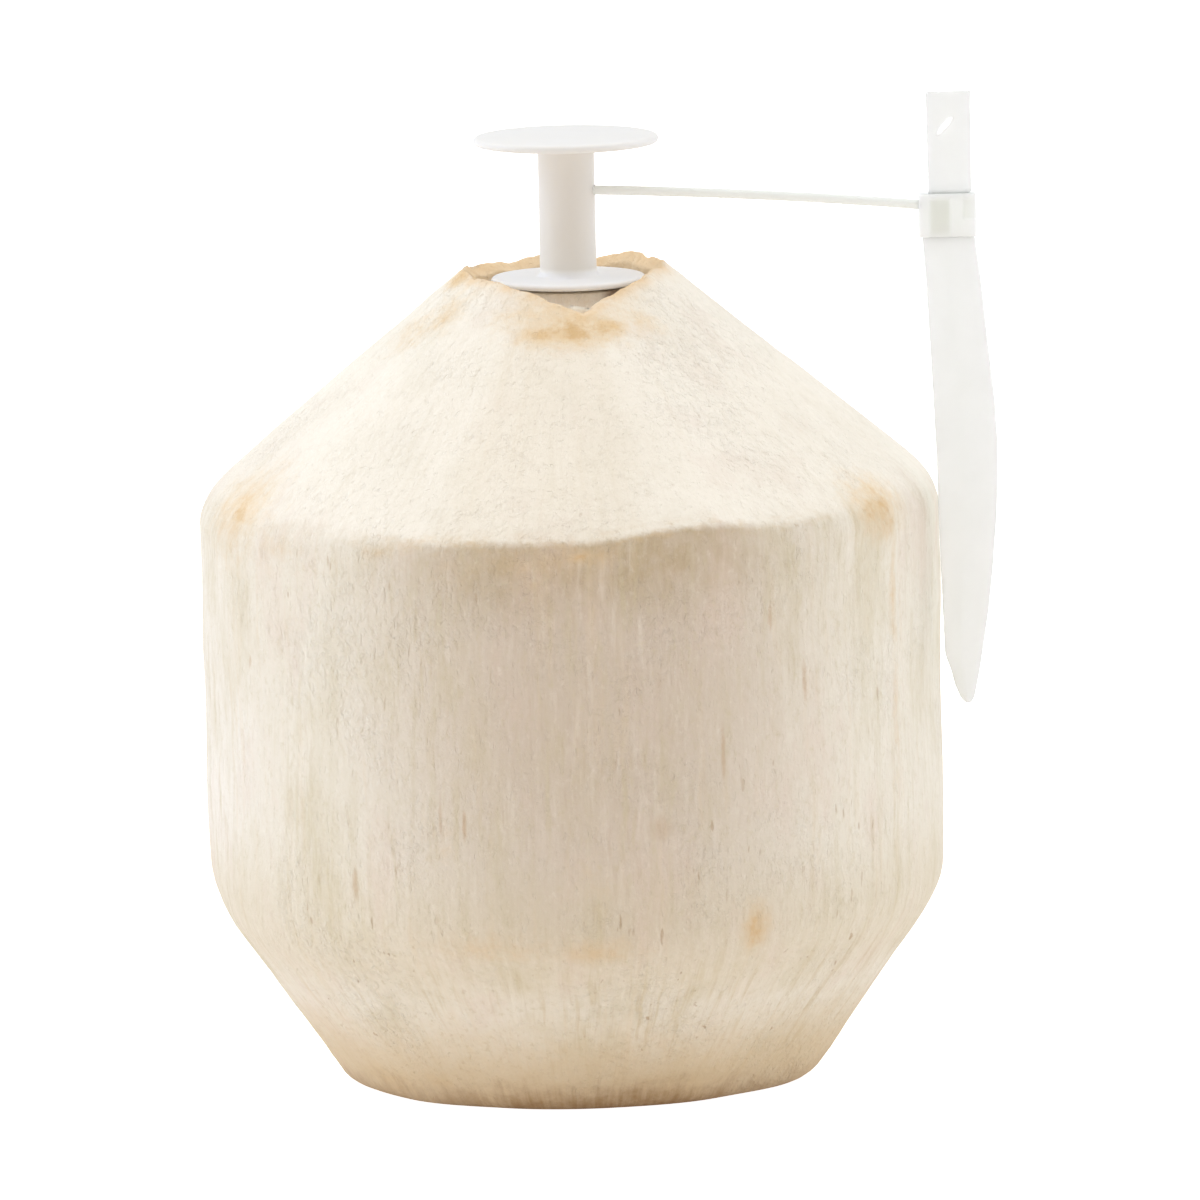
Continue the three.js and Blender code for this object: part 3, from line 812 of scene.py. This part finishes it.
# Painted glint: a short slanting mark in the handle is made clearer than the rest, so the white behind
# shows through as a bright streak
glint_x, glint_z = 59.0 * mm, 149.6 * mm
glint_width, glint_length = 0.6 * mm, 2.0 * mm
slant_up, slant_across = 0.75, 0.66
glint_across = place.part(0) - glint_x
glint_up = place.part(2) - glint_z
glint_side = (glint_up * slant_across - glint_across * slant_up) / glint_width
glint_along = (glint_up * slant_up + glint_across * slant_across) / glint_length
painted_glint = (1.2 - glint_side * glint_side - (glint_along * glint_along) ** 2).between(0, 1.6)
feed(milky_shader, Base_Color=milky_tone, Roughness=0.12 + milky_cloud * 0.12, Alpha=0.76 - painted_glint * 0.55,
     Normal=place.bump(place.noise(500, 2, 0.5), 0.02 * mm, 0.5))
let_light_in(milky_shader, 1.0, (1.0, 1.0, 0.98), 3 * mm)
scoop_piece.data.materials.append(milky_finish)


# Floor, light and camera
# A pale floor in a white room. The light comes mostly from both sides: the front, where the camera
# stands, is dim and warm, and the far side is duller than the sides.
floor_radius = 4
floor = bmesh.new()
bmesh.ops.create_circle(floor, cap_ends=True, radius=floor_radius, segments=96)
floor_piece = new_piece("floor", floor)
floor_finish, floor_shader, place = new_finish("pale_floor")
floor_tone = place.noise(3).mix(colour(245, 240, 238), colour(242, 237, 235))
camera_ray = place.add("ShaderNodeLightPath", {}, {})
floor_glow = camera_ray.mix((0.17, 0.165, 0.16, 1), (0.95, 0.95, 0.95, 1))
feed(floor_shader, Base_Color=floor_tone, Emission_Color=floor_glow)
floor_shader.inputs["Roughness"].default_value = 0.9
floor_shader.inputs["Specular IOR Level"].default_value = 0.1
floor_shader.inputs["Emission Strength"].default_value = 1
floor_piece.data.materials.append(floor_finish)

# The room's light by direction: from the front to the sides, then the far side, left, right and overhead.
# The camera itself sees plain white.
world = bpy.data.worlds.new("studio")
bpy.context.scene.world = world
world.use_nodes = True
background = world.node_tree.nodes["Background"]
direction = Wire(world.node_tree, world.node_tree.nodes.new("ShaderNodeTexCoord").outputs["Generated"])
room_x, room_y, room_z = direction.part(0), direction.part(1), direction.part(2)
room = room_y.between(-0.6, 0.05).mix((0.32, 0.25, 0.17, 1), (2.04, 2.3, 2.72, 1))
behind = room_z.between(0.4, 0.1).mix((0.4, 0.42, 0.43, 1), (0.8, 0.82, 0.83, 1))
room = room.tinted(behind, room_y.between(0.15, 0.7))
room = room.tinted((1.7, 1.85, 2.15, 1), room_x.between(0.0, -0.9) * 0.24)
room = room.tinted((0.75, 0.77, 0.82, 1), room_x.between(0.0, 0.9) * 0.35)
room = room.tinted((1.23, 1.215, 1.205, 1), room_z.between(0.3, 0.9))
camera_ray = direction.add("ShaderNodeLightPath", {}, {})
room = room.tinted((1, 1, 1, 1), camera_ray)
world.node_tree.links.new(room.socket, background.inputs["Color"])

# The camera stands in front, a little above, and is turned slightly about its own line of sight
camera_distance = 1.9
camera_elevation = math.radians(8.9)
camera_roll = math.radians(1.2)
camera_target = Vector((4.44, 0, 74.64)) * mm
frame_width = 187.2 * mm
sensor_width = 36
toward = Vector((0, math.cos(camera_elevation), -math.sin(camera_elevation)))
level_up = Vector((0, math.sin(camera_elevation), math.cos(camera_elevation)))
right = Vector((1, 0, 0)) * math.cos(camera_roll) - level_up * math.sin(camera_roll)
up = right.cross(toward)
camera = bpy.data.cameras.new("photo_view")
camera.sensor_width = sensor_width
camera.lens = sensor_width * camera_distance / frame_width
camera_piece = bpy.data.objects.new("photo_view", camera)
turn = Matrix((right, up, -toward)).transposed().to_4x4()
camera_piece.matrix_world = Matrix.Translation(camera_target - toward * camera_distance) @ turn
bpy.context.collection.objects.link(camera_piece)
bpy.context.scene.camera = camera_piece
bpy.context.scene.view_settings.view_transform = "Standard"
